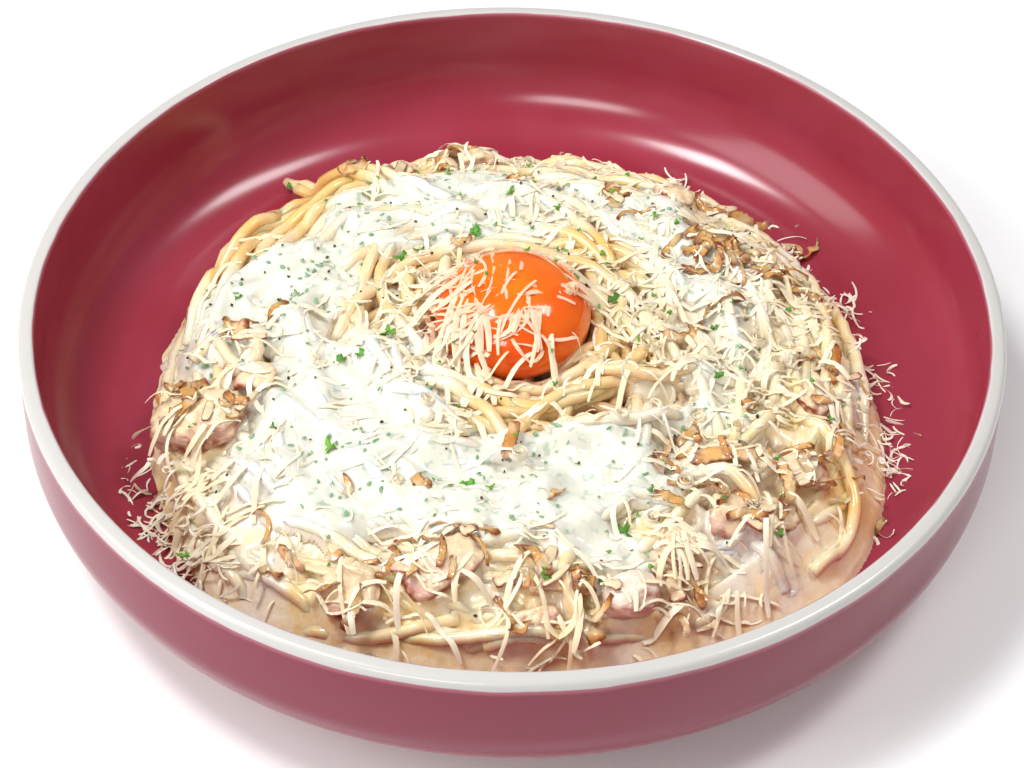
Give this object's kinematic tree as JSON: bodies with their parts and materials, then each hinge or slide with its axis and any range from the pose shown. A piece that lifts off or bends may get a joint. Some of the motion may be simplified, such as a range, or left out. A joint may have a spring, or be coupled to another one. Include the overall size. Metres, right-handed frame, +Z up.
{
  "type": "spaghetti carbonara in a bowl",
  "caption": "Wide low glazed bowl holding a heap of sauced spaghetti topped with herbed cream, bacon, fried onion, cheese shreds and a raw egg yolk.",
  "frame": {"origin": "centre of the foot ring on the table, under the centre of the bowl", "axes": "+Z up, out of the bowl's mouth; -Y is the side that the picture's camera looks from, +X its right"},
  "size_m": [0.22, 0.22, 0.0477],
  "materials": {
    "bowl_glaze": "glossy",
    "sauce": "satin",
    "pasta": "satin",
    "yolk": "glossy",
    "cream": "satin",
    "bacon": "satin",
    "onion": "matte"
  },
  "bodies": {
    "root": {"bowl": "bowl_glaze", "carbonara_sauce": "sauce", "spaghetti_heap": "pasta", "egg_yolk": "yolk", "cream_front": "cream", "cream_left": "cream", "cream_back": "cream", "cream_right": "cream", "bacon_chunk_1": "bacon", "bacon_chunk_2": "bacon", "bacon_slice_1": "bacon", "bacon_slice_2": "bacon", "bacon_slice_3": "bacon", "bacon_slice_4": "bacon", "bacon_slice_5": "bacon", "bacon_slice_6": "bacon", "bacon_slice_7": "bacon", "bacon_slice_8": "bacon", "bacon_slice_9": "bacon", "bacon_slice_10": "bacon", "bacon_slice_11": "bacon", "onion_strip_1": "onion", "onion_strip_2": "onion", "onion_strip_3": "onion", "onion_strip_4": "onion", "onion_strip_5": "onion", "onion_strip_6": "onion", "onion_strip_7": "onion", "onion_strip_8": "onion", "onion_strip_9": "onion"}
  },
  "joints": []
}
